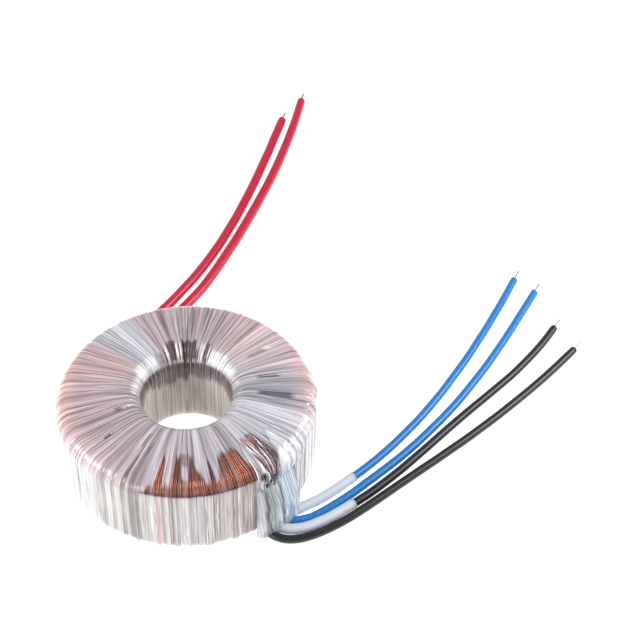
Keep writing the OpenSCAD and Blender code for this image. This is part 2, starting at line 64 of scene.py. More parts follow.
MAINS_LEAD_R, LEAD_R = 1.7 * MM, 1.35 * MM
STRIP_LEN = 5 * MM
CONDUCTOR_R = 0.5 * MM
SLEEVE_R, SLEEVE_BORE_R = 1.65 * MM, 1.45 * MM
SLEEVE_POINTS = 6
ROUTES = {
    "red_1": [
        (1.4, 3.2, 0.9), (2.2, 7.94, 0.5), (4.9, 12.75, 0), (8.8, 17.25, 0), (13.4, 21.85, 0),
        (18, 26.35, 0), (22.3, 31.05, 0), (26.5, 36.35, 0), (30.6, 42.15, 0), (34.1, 48.05, 0),
        (37.4, 54.05, 0), (40.6, 60.25, 0), (43.9, 66.65, 0), (46.8, 72.75, 0), (49.9, 79.35, 0),
        (52.9, 85.95, 0), (55.8, 92.55, 0), (58.4, 98.55, 0), (61, 104.95, 0), (63.5, 111.45, 0),
        (66, 118.35, 0), (68.3, 124.85, 0), (70.4, 131.25, 0), (72.4, 137.75, 0),
        (74.4, 144.75, 0), (76.4, 151.85, 0),
    ],
    "red_2": [
        (-3.1, 0.2, 0.9), (-2.9, 4.94, 0.5), (-0.6, 10.65, 0), (3.2, 16.35, 0), (7.3, 21.35, 0),
        (11.6, 26.35, 0), (15.9, 31.55, 0), (19.8, 36.45, 0), (24, 42.25, 0), (28, 48.05, 0),
        (31.8, 54.15, 0), (35.2, 60.15, 0), (38.6, 66.55, 0), (41.8, 73.25, 0), (44.9, 79.85, 0),
        (47.7, 86.45, 0), (50.4, 92.95, 0), (53, 99.45, 0), (55.6, 106.35, 0), (58, 112.85, 0),
        (60.4, 119.35, 0), (62.8, 126.35, 0), (65.1, 132.85, 0), (67.4, 139.35, 0),
    ],
    "blue_1": [
        (4.6, 2.4, 0.9), (6.8, 3.7, 0.8), (9.7, 5.3, 0.5), (14, 7.5, 0.3), (19.4, 11, 0.3),
        (25.2, 15.3, 0.3), (30.2, 19.3, 0.1), (35.6, 24, 0), (40.5, 28.6, 0), (45.4, 33.6, 0),
        (50, 38.5, 0), (54.6, 43.9, 0), (59.1, 49.4, 0), (63.6, 55.4, 0), (67.7, 60.9, 0),
        (71.6, 66.4, 0), (75.6, 72.4, 0), (79.6, 78.4, 0), (83.1, 83.9, 0), (86.6, 89.4, 0),
        (90.5, 95.9, 0), (94.1, 101.9, 0),
    ],
    "blue_2": [
        (2.6, -0.1, 0.9), (5.6, -0.5, 0.6), (8.4, 0.1, 0.2), (11.5, 1.2, 0), (17, 4.3, 0),
        (23.2, 8.4, 0), (29.3, 13, 0), (34.6, 17.1, 0), (40.6, 21.9, 0), (46.6, 27.2, 0),
        (52.4, 32.8, 0), (57.9, 38.4, 0), (63.4, 44.4, 0), (68, 49.9, 0), (72.5, 55.5, 0),
        (76.7, 60.9, 0), (80.7, 66.4, 0), (84.9, 72.3, 0), (88.7, 77.8, 0), (92.5, 83.5, 0),
        (96.5, 89.4, 0), (100.1, 94.9, 0),
    ],
    "black_1": [
        (-0.4, -2.6, 0.9), (2.8, -3.5, 0.6), (6.2, -3.5, 0.4), (10.1, -2.6, 0.3), (16.6, 0.3, 0.3),
        (24.1, 4.8, 0.3), (29.5, 8.5, 0.1), (34.9, 12.6, 0), (40.7, 17.3, 0), (46.3, 22.2, 0),
        (51.9, 27.2, 0), (57.4, 32.2, 0), (62.7, 36.9, 0), (68.1, 41.6, 0), (73.4, 46.1, 0),
        (79, 50.9, 0), (84, 55.3, 0), (89.1, 60.3, 0), (94.1, 65.5, 0), (98.8, 70.9, 0),
        (103.1, 76.4, 0),
    ],
    "black_2": [
        (-2.9, -4.6, 0.9), (-0.7, -6.1, 0.5), (2.3, -7, 0.1), (6.1, -7, 0), (10, -6.1, 0),
        (14, -4.6, 0), (18.7, -2.3, 0), (23.2, 0.3, 0), (28.1, 3.5, 0), (33.6, 7.3, 0),
        (39.7, 11.6, 0), (45.6, 15.7, 0), (51.7, 19.9, 0), (57.5, 24, 0), (63.6, 28.3, 0),
        (69.6, 32.8, 0), (75.5, 37.3, 0), (81.1, 41.8, 0), (86.6, 46.3, 0), (92.1, 51, 0),
        (97.7, 56, 0), (102.6, 60.6, 0), (107.6, 65.4, 0),
    ],
}


# ---- Making meshes ----

TUBE_SIDES = 20


def mesh_piece(name, points, faces, smooth=True):
    """A mesh object from an array of points, in metres, and a list or array of faces."""
    mesh = bpy.data.meshes.new(name)
    mesh.from_pydata([tuple(p) for p in points], [], [tuple(f) for f in faces])
    mesh.polygons.foreach_set("use_smooth", [smooth] * len(mesh.polygons))
    mesh.update()
    piece = bpy.data.objects.new(name, mesh)
    bpy.context.scene.collection.objects.link(piece)
    return piece


def grid_faces(rows, columns, close_rows, close_columns):
    """Faces of a grid whose point (i, j) has number i * columns + j."""
    i = np.arange(rows if close_rows else rows - 1)
    j = np.arange(columns if close_columns else columns - 1)
    i, j = np.meshgrid(i, j, indexing="ij")
    i2, j2 = (i + 1) % rows, (j + 1) % columns
    faces = [i * columns + j, i2 * columns + j, i2 * columns + j2, i * columns + j2]
    return np.stack(faces, -1).reshape(-1, 4)


def smooth_path(points, steps):
    """Points along the smooth curve through these points, with this many steps between two of them."""
    p = np.array(points, float)
    p = np.vstack([2 * p[0] - p[1], p, 2 * p[-1] - p[-2]])
    t = np.arange(steps)[:, None] / steps
    path = []
    for a, b, c, d in zip(p, p[1:], p[2:], p[3:]):
        path.append(0.5 * (2 * b + (c - a) * t + (2 * a - 5 * b + 4 * c - d) * t ** 2
                           + (3 * b - a - 3 * c + d) * t ** 3))
    return np.vstack(path + [p[-2]])


def path_frames(path):
    """Unit vectors along a path, to its side and away from the ground."""
    along = np.gradient(path, axis=0)
    along /= np.linalg.norm(along, axis=1)[:, None]
    side = np.cross(along, [0, 0, 1.0])
    side /= np.linalg.norm(side, axis=1)[:, None]
    return along, side, np.cross(side, along)


def tube(name, path, radii, sides=TUBE_SIDES, bore=None):
    """A tube along a path. radii is one for each point. Its ends are closed, or open to a bore."""
    along, side, up = path_frames(path)
    angle = np.arange(sides) * TURN / sides
    ring = np.cos(angle)[None, :, None] * side[:, None] + np.sin(angle)[None, :, None] * up[:, None]
    n = len(path)
    skin = path[:, None] + np.asarray(radii)[:, None, None] * ring
    faces = [tuple(f) for f in grid_faces(n, sides, False, True)]
    if bore is None:
        first, last = range(sides), range((n - 1) * sides, n * sides)
        faces += [tuple(first)[::-1], tuple(last)]
        return mesh_piece(name, skin.reshape(-1, 3), faces)
    inside = path[:, None] + np.asarray(bore)[:, None, None] * ring
    count = n * sides
    faces += [tuple(f[::-1] + count) for f in grid_faces(n, sides, False, True)]
    for k in range(sides):
        k2 = (k + 1) % sides
        far = count - sides
        faces.append((k2, k, count + k, count + k2))
        faces.append((far + k, far + k2, count + far + k2, count + far + k))
    return mesh_piece(name, np.concatenate([skin, inside]).reshape(-1, 3), faces)


def ring_noise(angle, cells, seed):
    """Smooth noise around the ring, from -1 to 1, with this many cells in a turn."""
    values = np.random.default_rng(seed).uniform(-1, 1, cells)
    at = np.asarray(angle) / TURN % 1 * cells
    low = np.floor(at).astype(int)
    f = at - low
    f = f * f * (3 - 2 * f)
    return values[low % cells] * (1 - f) + values[(low + 1) % cells] * f


def ramp(x, low, high):
    """0 below low, 1 above high and smooth between them."""
    t = np.clip((x - low) / (high - low), 0, 1)
    return t * t * (3 - 2 * t)


def blend(colour, other, share):
    """A colour at each point, with this share of another one."""
    return colour + (other - colour) * share[..., None]


def bump_at(angle, middle, half_width):
    """1 at the middle angle and 0 beyond half_width from it, in degrees."""
    gap = np.abs((np.degrees(angle) - middle + 180) % 360 - 180)
    return 1 - ramp(gap, 0, half_width)


# ---- Camera: fitted to the outline of the body, its hole and the leads on the ground ----

def turned(first, second, angle):
    """Two axes turned in their own plane."""
    c, s = math.cos(angle), math.sin(angle)
    return c * first - s * second, s * first + c * second


DROP = math.radians(49.2)       # how far below the horizon the camera looks
DISTANCE = 475.2 * MM
YAW, PITCH, ROLL = 0.093, 0.084, 0.063
FOCAL_PX, FRAME_PX = 1478, 640
forward = Vector((0, math.cos(DROP), -math.sin(DROP)))
right = Vector((1, 0, 0))
up = Vector((0, math.sin(DROP), math.cos(DROP)))
place = -DISTANCE * forward
right, forward = turned(right, forward, YAW)
up, forward = turned(up, forward, PITCH)
right, up = turned(right, up, ROLL)
camera = bpy.data.objects.new("camera", bpy.data.cameras.new("camera"))
camera.data.sensor_width = 36
camera.data.lens = camera.data.sensor_width * FOCAL_PX / FRAME_PX
camera.data.clip_start = 0.01
camera.matrix_world = Matrix.Translation(place) @ Matrix((right, up, -forward)).transposed().to_4x4()
bpy.context.scene.collection.objects.link(camera)
bpy.context.scene.camera = camera


# ---- Making the leads ----

def strands(name, start, direction):
    """The stripped end of a lead: seven tinned strands, six of them twisted round the middle one."""
    strand_r = CONDUCTOR_R / 3
    twist = 0.6 * TURN
    steps, sides = 14, 8
    t = np.linspace(-0.1, 1, steps)
    side = np.cross(direction, [0, 0, 1.0])
    side /= np.linalg.norm(side)
    rise = np.cross(side, direction)
    points, faces = [], []
    for k in range(7):
        lay = 0 if k == 6 else 2 * strand_r
        length = STRIP_LEN * (1 - 0.03 * (k % 3))
        turn = k * TURN / 6 + twist * t
        path = (start + np.outer(t * length, direction)
                + lay * (np.outer(np.cos(turn), side) + np.outer(np.sin(turn), rise)))
        along, across, over = path_frames(path)
        angle = np.arange(sides) * TURN / sides
        ring = (np.cos(angle)[None, :, None] * across[:, None]
                + np.sin(angle)[None, :, None] * over[:, None])
        first = len(points)
        points.extend((path[:, None] + strand_r * ring).reshape(-1, 3))
        faces += [tuple(f + first) for f in grid_faces(steps, sides, False, True)]
        last = first + (steps - 1) * sides
        faces += [tuple(range(first, first + sides))[::-1], tuple(range(last, last + sides))]
    return mesh_piece(name, points, faces)


leads, lead_ends, sleeves = {}, {}, {}
for lead_name, route in ROUTES.items():
    colour, number = lead_name.split("_")
    exit_angle, lead_r = (REAR_EXIT, MAINS_LEAD_R) if colour == "red" else (FRONT_EXIT, LEAD_R)
    route = np.array(route) * MM + [BODY_R * math.cos(exit_angle), BODY_R * math.sin(exit_angle), lead_r]
    path = smooth_path(route, 6)
    path[:, 2] = np.maximum(path[:, 2], lead_r)
    radii = np.full(len(path), lead_r)
    radii[0] = radii[-1] = 0.9 * lead_r     # the cut edges are slightly rounded
    lead = tube(lead_name + "_lead", path, radii)
    direction = path[-1] - path[-2]
    direction /= np.linalg.norm(direction)
    end = strands(lead_name + "_strands", path[-1], direction)
    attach(lead, "root")
    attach(end, "root")
    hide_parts(f"{colour}_lead_{number}")
    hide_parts(f"{colour}_lead_{number}_end")
    if lead_name in ("blue_1", "black_1"):
        cover = smooth_path(route[:SLEEVE_POINTS], 8)
        cover[:, 2] = np.maximum(cover[:, 2], SLEEVE_R + 0.03 * MM)
        wave = 0.02 * MM * np.sin(np.linspace(0, 40, len(cover)))
        sleeve = tube(f"{colour}_sleeve", cover, SLEEVE_R + wave, 28, np.full(len(cover), SLEEVE_BORE_R))
        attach(sleeve, "root")
        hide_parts(f"{colour}_lead_sleeve")
        sleeves[colour] = sleeve
    leads[lead_name], lead_ends[lead_name] = lead, end


# ---- The section of the ring ----

def section_path(inset, upper_counts, lower_counts=None):
    """Points [r, z] round the section at this inset from the film's outer surface, with the normals
    and the path length from the middle of the hole's wall. inset is for the outer wall, the faces and
    the hole; counts are the steps on the hole's wall, inner edge, seat, slope, outer edge and wall."""
    wall, face, hole = inset
    r_in, r_out, top = HOLE_R + hole, BODY_R - wall, BODY_H - face
    inner_r = INNER_EDGE_R - min(face, hole)
    outer_r = OUTER_EDGE_R - min(face, wall)
    seat_r = HOLE_R + INNER_EDGE_R + SEAT_W
    middle = BODY_H / 2

    def line(a, b, n):
        t = np.arange(n)[:, None] / n
        return np.array(a) * (1 - t) + np.array(b) * t

    def arc(centre, r, start, end, n):
        a = np.radians(start + (end - start) * np.arange(n) / n)
        return np.array(centre) + r * np.stack([np.cos(a), np.sin(a)], -1)

    inner_at = (r_in + inner_r, top - inner_r)
    outer_at = (r_out - outer_r, top - CROWN - outer_r)

    def half(counts):
        return np.vstack([
            line((r_in, middle), (r_in, inner_at[1]), counts[0]),
            arc(inner_at, inner_r, 180, 90, counts[1]),
            line((inner_at[0], top), (seat_r, top), counts[2]),
            line((seat_r, top), (outer_at[0], top - CROWN), counts[3]),
            arc(outer_at, outer_r, 90, 0, counts[4]),
            line((r_out, outer_at[1]), (r_out, middle), counts[5]),
        ])

    lower = half(lower_counts or upper_counts)[1:][::-1] * [1, -1] + [0, BODY_H]
    points = np.vstack([half(upper_counts), [[r_out, middle]], lower])
    ahead, behind = np.roll(points, -1, 0), np.roll(points, 1, 0)
    d = ahead - behind
    d /= np.linalg.norm(d, axis=1)[:, None]
    normals = np.stack([-d[:, 1], d[:, 0]], -1)
    steps = np.linalg.norm(np.diff(points, axis=0), axis=1)
    return points, normals, np.concatenate([[0], np.cumsum(steps)])


# ---- The outer secondary: one wire wound round the ring ----

WIRE_TURNS = 340


def wound_wire():
    """The wire as one tube. In the hole its turns have less room than they are thick, so they lie in
    three layers there."""
    below = [w + LAYER_GAP + WIRE_D / 2 for w in WRAP]
    points, normals, _ = section_path(below, (2, 5, 1, 3, 5, 2))
    around = len(points)
    rng = np.random.default_rng(11)
    turn = np.repeat(np.arange(WIRE_TURNS), around)
    step = np.tile(np.arange(around), WIRE_TURNS)
    drift = rng.normal(0, 0.16, WIRE_TURNS)
    angle = (turn + step / around + drift[turn]) * TURN / WIRE_TURNS
    crowded = 1 - ramp(points[step, 0], HOLE_R + 2 * MM, HOLE_R + 12 * MM)
    depth = crowded * (turn % 3) * 0.55 * MM + rng.uniform(0, 0.12, WIRE_TURNS)[turn] * MM
    r = points[step, 0] - normals[step, 0] * depth
    z = points[step, 1] - normals[step, 1] * depth
    path = np.stack([r * np.cos(angle), r * np.sin(angle), z], -1)
    sides = 5
    side = np.stack([-np.sin(angle), np.cos(angle), np.zeros_like(angle)], -1)
    out = np.stack([normals[step, 0] * np.cos(angle), normals[step, 0] * np.sin(angle),
                    normals[step, 1]], -1)
    a = (np.arange(sides) + 0.25) * TURN / sides
    ring = np.cos(a)[None, :, None] * out[:, None] + np.sin(a)[None, :, None] * side[:, None]
    skin = path[:, None] + WIRE_D / 2 * ring
    n = len(path)
    faces = [tuple(f) for f in grid_faces(n, sides, False, True)]
    faces += [tuple(range(sides))[::-1], tuple(range((n - 1) * sides, n * sides))]
    return mesh_piece("winding_wire", skin.reshape(-1, 3), faces)


wire = wound_wire()
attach(wire, "root")
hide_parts("secondary_winding_2")


# ---- The film wrap ----

FILM_COLUMNS = 1250
LAPS = 84
MID_HEIGHT = 15.25          # mm


def srgb(*levels):
    """A colour given as 0 to 255 display levels, as linear light."""
    c = np.array(levels) / 255
    return np.where(c <= 0.04045, c / 12.92, ((c + 0.055) / 1.055) ** 2.4)


def window(x, low, high, soft):
    """1 between low and high and 0 outside, with soft edges."""
    return ramp(x, low - soft, low + soft) * (1 - ramp(x, high - soft, high + soft))


def tint_around(table, degrees):
    """A colour read from a table of (angle in degrees, display levels) round the ring."""
    at = [row[0] for row in table]
    colours = np.array([srgb(*row[1]) for row in table])
    return np.stack([np.interp(degrees, at, colours[:, k], period=360) for k in range(3)], -1)


# Colours of the film over the windings, by angle round the ring: on the top, by its outer edge and
# on the outer wall
TOP_TINTS = [
    (-180, (185, 164, 170)), (-150, (184, 163, 170)), (-130, (181, 163, 171)), (-112, (198, 186, 196)),
    (-100, (188, 174, 184)), (-80, (194, 186, 198)), (-66, (184, 172, 180)), (-45, (198, 194, 204)),
    (-25, (198, 196, 206)), (-12, (174, 172, 184)), (3, (170, 167, 179)), (14, (192, 180, 188)),
    (28, (198, 182, 188)), (45, (198, 172, 174)), (65, (186, 164, 170)), (85, (172, 156, 162)),
    (105, (178, 162, 167)), (118, (186, 172, 178)), (119.5, (204, 206, 215)), (139.5, (204, 206, 215)),
    (142, (186, 160, 166)), (152, (202, 170, 172)), (165, (195, 170, 174)),
]
EDGE_TINTS = [
    (-180, (216, 174, 170)), (-150, (206, 176, 178)), (-125, (198, 180, 186)), (-60, (200, 188, 194)),
    (-30, (208, 206, 214)), (-8, (214, 184, 188)), (12, (218, 178, 178)), (30, (210, 180, 182)),
    (60, (192, 166, 170)), (117, (186, 168, 174)), (120, (204, 206, 214)), (140, (206, 208, 216)),
    (143, (196, 168, 172)), (165, (214, 174, 172)),
]
WALL_TINTS = [
    (-165, (187, 186, 189)), (-150, (184, 182, 182)), (-135, (180, 177, 175)), (-120, (187, 183, 181)),
    (-106, (178, 171, 169)), (-104.5, (184, 148, 144)), (-103, (176, 167, 166)), (-90, (184, 180, 180)),
    (-75, (173, 160, 158)), (-62, (169, 157, 153)), (-35, (185, 185, 187)), (0, (182, 178, 180)),
    (90, (176, 166, 166)),
]
# The last is the copper's dark red under the film below the hole's rim, darkened as painted shade
INNER_TINT, HOLE_TINT, RIM_SHADE_TINT = (196, 188, 195), (212, 203, 192), (88, 56, 62)

# How far in along the section the front copper shows, by angle: (degrees, mm along the section)
COPPER_STARTS = [
    (-113, 41), (-109, 38.2), (-107, 37.8), (-106, 25.5), (-104.2, 28), (-103.2, 37), (-99, 37.4),
    (-98.3, 26.8), (-95.4, 26.8), (-94.6, 33), (-91.5, 36.5), (-90.4, 26), (-88.8, 27), (-88, 31),
    (-85, 33), (-84, 36.4), (-81.2, 36.6), (-80.6, 29), (-79.4, 29), (-78.8, 36.5), (-77, 36), (-76, 32),
    (-74.5, 28), (-62.3, 27.5), (-61.7, 34.5), (-60.4, 35.5), (-59.4, 42),
]
COPPER_END = 40.4
# Clear places in the film: degrees from, to, mm along the section from, to, and how clear
CLEAR_PATCHES = [
    (63.4, 68, 12.3, 19.3, 0.85), (74, 78, 12.3, 16.5, 0.8), (78, 92.3, 12.3, 19.6, 0.95),
    (94.3, 95.8, 12.5, 18.5, 0.7), (98.2, 106.8, 12.3, 19.7, 0.9), (110.2, 111.8, 12.5, 17, 0.8),
    (114.2, 117.5, 12.5, 16.8, 0.7), (119, 122, 12.5, 17, 0.35), (29, 32, 21.5, 28.5, 0.55),
    (-122.8, -121.2, 20.5, 25.5, 0.6), (-120.9, -119.7, 28.5, 37, 0.7), (-116.7, -115.3, 23.5, 27.5, 0.5),
    (-57, -46.5, 26, 38, 0.75), (-145.6, -144.4, 26.5, 29.5, 0.4), (-96, -91, 26, 30.5, 0.6),
]
# Dark and pale places of the film, with a painted shadow beside a curl of film and painted highlights along
# the inner lip: the same, and the display levels
TINT_AND_PAINTED_LIGHT_PATCHES = [
    (-11.6, -7.5, 21.3, 31.8, (84, 80, 92)), (5.6, 9, 21.3, 28.2, (92, 74, 84)),
    (30, 33.2, 28, 30.5, (232, 226, 226)), (68.4, 73.4, 12, 18.5, (228, 224, 232)),
    (92.6, 94.1, 12.2, 18.5, (236, 220, 222)), (96, 98, 12.2, 18.5, (232, 222, 224)),
    (107.2, 110, 12.2, 18, (232, 214, 216)), (112.1, 114, 12.2, 17.5, (226, 208, 210)),
    # The first patch below is a painted shadow beside the curl of film near -160 degrees; the rest are
    # painted highlights along the inner lip
    (-162.9, -158.8, 20, 22, (120, 84, 88)), (20, 38, 12.6, 16, (236, 236, 244)),
    (40, 61, 12.2, 17, (250, 250, 255)), (123, 151, 12.2, 17, (250, 250, 255)),
    (151, 186, 12.4, 15.5, (232, 230, 238)),
]


def film_shell():
    """The film's outer surface, pleated where its turns lap over each other."""
    points, normals, run = section_path((0, 0, 0), (6, 9, 4, 10, 12, 7), (4, 5, 2, 4, 10, 6))
    around = len(points)
    angle = np.arange(FILM_COLUMNS) * TURN / FILM_COLUMNS - math.pi
    phi, k = np.meshgrid(angle, np.arange(around), indexing="ij")
    r0, z0, s = points[k, 0], points[k, 1], run[k] / MM
    # The laps don't run quite straight out from the axis: they lean, group by group
    reach = ramp(r0, HOLE_R, BODY_R)
    lean = reach * (0.014 * ring_noise(phi, 13, 3) + 0.007 * ring_noise(phi, 41, 4))
    wound = phi + lean
    lap = (wound / TURN * LAPS) % 1
    height = 0.5 + 0.5 * ring_noise(np.floor(wound / TURN * LAPS) / LAPS * TURN, LAPS, 5)
    relief = -0.16 * height * ramp(lap, 0.0, 0.85) * (1 - ramp(lap, 0.85, 1.0))
    relief += 0.04 * ring_noise(wound, 480, 6) + 0.05 * ring_noise(wound, 230, 7)
    on_seat = 1 - 0.6 * np.exp(-((r0 / MM - 21.5) / 3) ** 2)
    in_hole = 1 - ramp(r0 / MM, 13.7, 16.5)
    relief = relief * on_seat * (1 - 0.5 * in_hole) - 0.05
    # The film of the wall lies over the film of the top, and ends in a small step at the corner
    relief += 0.14 * ramp(s, COPPER_END - 0.2, COPPER_END + 0.25) * window(s, 30, 70, 2) - 0.07
    # Loose edges of film stand out at the foot of the wall, and on the right-hand side
    foot = np.exp(-((z0 / MM - 2.2) / 1.8) ** 2) * ramp(r0 / MM, 35, 39)
    relief += foot * 0.55 * np.maximum(ring_noise(wound, 230, 8), -0.2)
    loose = bump_at(phi, -10, 34) * ramp(r0 / MM, 37, 40) * (1 - in_hole)
    relief += loose * 0.55 * (0.4 + ring_noise(wound, 70, 9) * ramp(z0 / MM, 2, 12))
    r = r0 + normals[k, 0] * relief * MM
    z = np.clip(z0 + normals[k, 1] * relief * MM, 0, BODY_H)
    outer = np.stack([r * np.cos(phi), r * np.sin(phi), z], -1).reshape(-1, 3)
    piece = mesh_piece("film_wrap", outer, grid_faces(FILM_COLUMNS, around, True, True))
    along = np.minimum(s, s.max() - s) * MM / BODY_R
    add_film_look(piece, np.stack([np.cos(wound), np.sin(wound), along], -1),
                  film_tints(phi, wound, r0 / MM, z0 / MM, s))
    return piece


def add_film_look(piece, coordinate, tints):
    """Stores what the film's material reads: where each point lies across and along the turns of
    film, and its colour, with its haze as the fourth channel."""
    attributes = piece.data.attributes
    attributes.new("wound", "FLOAT_VECTOR", "POINT").data.foreach_set(
        "vector", coordinate.reshape(-1).astype(np.float32))
    attributes.new("tint", "FLOAT_COLOR", "POINT").data.foreach_set(
        "color", tints.reshape(-1).astype(np.float32))


def film_tints(phi, wound, r, z, s):
    """The film's colour and haze at each point; r, z and s are in mm."""
    degrees = np.degrees(phi)
    upper = z > MID_HEIGHT
    top = tint_around(TOP_TINTS, degrees)
    edge = tint_around(EDGE_TINTS, degrees)
    wall = tint_around(WALL_TINTS, degrees)
    colour = blend(top, edge, ramp(s, 30, 37) * upper)
    colour = blend(colour, srgb(*INNER_TINT), 0.5 * (1 - ramp(s, 14, 23)))
    on_wall = (1 - ramp(z, 25.8, 26.4)) * ramp(r, 36, 38)
    on_wall = np.maximum(on_wall, np.where(upper, 0, ramp(r, 25, 36)))
    colour = blend(colour, wall, on_wall)
    # In the hole the film is beige, and below the rim dark red: the copper under the film, darkened as
    # painted shade under the rim, down to a ragged edge
    hole = 1 - ramp(r, 13.6, 15.2)
    colour = blend(colour, srgb(*HOLE_TINT), hole)
    ragged = 5.8 + 1.8 * ring_noise(wound, 19, 31) + 1.2 * ring_noise(wound, 90, 32)
    rim_shade = ramp(s, ragged - 1.2, ragged + 1.6) * (1 - ramp(s, 11.4, 12.4)) * upper
    rim_shade = rim_shade * (0.86 + 0.14 * ring_noise(wound, 160, 33))
    colour = blend(colour, srgb(*RIM_SHADE_TINT), rim_shade)
    # Dark and pale places of the film, and the table's painted shadow and painted highlights
    for left, right_side, low, high, levels in TINT_AND_PAINTED_LIGHT_PATCHES:
        share = window(degrees, left, right_side, 0.35) * window(s, low, high, 0.8) * upper
        colour = blend(colour, srgb(*levels), 0.95 * share)
    # Streaks across the turns
    streak = 0.10 * ring_noise(wound, 120, 34) + 0.07 * ring_noise(wound, 57, 35)
    colour = colour * (1 + streak * (1 - 0.5 * hole))[..., None]
    haze = 0.90 + 0.05 * on_wall + 0.06 * ring_noise(wound, 150, 36) - 0.1 * rim_shade
    starts = np.interp(degrees, *np.array(COPPER_STARTS).T, left=60, right=60)
    starts = starts + 0.9 * ring_noise(wound, 300, 37) + 0.5 * ring_noise(wound, 620, 38)
    band = ramp(s, starts - 1.3, starts + 1.3) * (1 - ramp(s, COPPER_END - 0.15, COPPER_END + 0.3))
    clear = band * (0.86 + 0.14 * ring_noise(wound, 420, 39))
    for left, right_side, low, high, amount in CLEAR_PATCHES:
        ends = 0.8 * ring_noise(wound, 330, 40)
        share = window(degrees, left, right_side, 0.4) * window(s + ends, low, high, 0.7)
        clear = np.maximum(clear, amount * share * upper * (0.85 + 0.15 * ring_noise(wound, 400, 41)))
    haze = np.clip(haze * (1 - clear), 0.04, 1)
    return np.concatenate([np.clip(colour, 0, 1), haze[..., None]], -1)


film = film_shell()
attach(film, "root")
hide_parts("outer_wrap")


# ---- The film over the exits ----

SECTION, SECTION_NORMALS, SECTION_RUN = section_path((0, 0, 0), (6, 9, 4, 10, 12, 7))


def on_ring(phi, s, lift):
    """Points over the ring's surface: at angle phi, s mm along the section, lift mm above it."""
    r, z, nr, nz = (np.interp(s * MM, SECTION_RUN, column) for column in
                    (*SECTION.T, *SECTION_NORMALS.T))
    r, z = r + nr * lift * MM, np.maximum(z + nz * lift * MM, 0)
    return np.stack([r * np.cos(phi), r * np.sin(phi), np.minimum(z, BODY_H)], -1)


def sheet(points, tints, coordinate):
    """A grid of film, as parts for film_piece."""
    rows, columns = points.shape[:2]
    return (points.reshape(-1, 3), grid_faces(rows, columns, False, False),
            tints.reshape(-1, 4), coordinate.reshape(-1, 3))


def film_piece(name, sheets, clear_of=()):
    """One piece from sheets of film, without the faces that are closer than a gap to any of the
    routes in clear_of, which holds pairs of points and gap."""
    points, faces, tints, places = [], [], [], []
    first = 0
    for sheet_points, sheet_faces, sheet_tints, sheet_places in sheets:
        sheet_faces = np.array(sheet_faces)
        middles = sheet_points[sheet_faces].mean(1)
        keep = np.ones(len(sheet_faces), bool)
        for route, gap in clear_of:
            keep &= np.linalg.norm(middles[:, None] - route[None], axis=2).min(1) > gap
        faces += [tuple(f + first) for f in sheet_faces[keep]]
        points.append(sheet_points)
        tints.append(sheet_tints)
        places.append(sheet_places)
        first += len(sheet_points)
    piece = mesh_piece(name, np.vstack(points), faces)
    add_film_look(piece, np.vstack(places), np.vstack(tints))
    return piece


def blister(angle, folds, seed):
    """The film drawn over an exit's joints. folds are (across from -1 to 1, half width, display
    levels) of its darker and paler bands."""
    u, v = np.meshgrid(np.linspace(-1, 1, 150), np.linspace(0, 1, 90) ** 1.5, indexing="ij")
    side = np.sqrt(np.maximum(1 - np.abs(u) ** 6, 0))
    foot = np.sqrt(np.maximum(1 - (1 - np.minimum(v / 0.12, 1)) ** 2, 0))
    fade = 0.5 + 0.5 * np.cos(math.pi * np.clip((v - 0.4) / 0.6, 0, 1))
    creases = 0.35 * ring_noise(u * 0.9 + 0.12 * v, 46, seed) + 0.1 * ring_noise(u + 0.2 * v, 110, seed + 1)
    depth = (EXIT_DEPTH / MM - 0.1 + creases * side) * side * foot * fade
    r = BODY_R + (0.12 + np.maximum(depth, 0)) * MM
    phi = angle + u * EXIT_SPAN / 2
    z = 0.1 * MM + (EXIT_TOP - 0.1 * MM) * v
    colour = np.zeros(u.shape + (3,)) + srgb(180, 188, 198)
    for across, half, levels in folds:
        share = np.exp(-((u - across + 0.05 * ring_noise(v, 40, seed + 2)) / half) ** 2)
        colour = blend(colour, srgb(*levels), share)
    colour = colour * (1 + 0.05 * ring_noise(u * 1.3 + 0.2 * v, 110, seed + 3))[..., None]
    haze = 0.82 + 0.16 * ring_noise(u + 0.1 * v, 60, seed + 4)
    haze = haze * (1 - ramp(v, 0.86, 1.0))
    tints = np.concatenate([np.clip(colour, 0, 1), np.clip(haze, 0, 1)[..., None]], -1)
    coordinate = np.stack([0.3 * u + 0.04 * v, 0 * u, 0.8 * v], -1)
    return sheet(np.stack([r * np.cos(phi), r * np.sin(phi), z], -1), tints, coordinate)


def ribbon(start, end, width, height, levels, haze=0.95, bend=0.0):
    """A narrow fold of film along the ring, from start to end, both (degrees, mm along the section).
    It is width mm wide, stands up by height mm and tapers off at its start."""
    t = np.linspace(0, 1, 22)
    across = np.array([-1, -0.5, -0.12, 0.12, 0.5, 1])
    t, a = np.meshgrid(t, across, indexing="ij")
    degrees = start[0] + (end[0] - start[0]) * t + bend * np.sin(math.pi * t)
    s = start[1] + (end[1] - start[1]) * t
    taper = ramp(t, -0.05, 0.35) * (1 - 0.6 * ramp(t, 0.85, 1.0))
    radius = np.interp(s * MM, SECTION_RUN, SECTION[:, 0]) / MM
    phi = np.radians(degrees) + a * taper * width / 2 / radius
    points = on_ring(phi, s, 0.06 + height * taper * (1 - np.abs(a)) ** 0.7)
    tints = np.zeros(t.shape + (4,)) + [*srgb(*levels), haze]
    # Painted shade: each fold is darker towards its sides, where they slope down
    tints[..., :3] *= (1 - 0.45 * np.abs(a) ** 2)[..., None]
    return sheet(points, tints, np.stack([np.cos(phi), np.sin(phi), s * MM / BODY_R], -1))


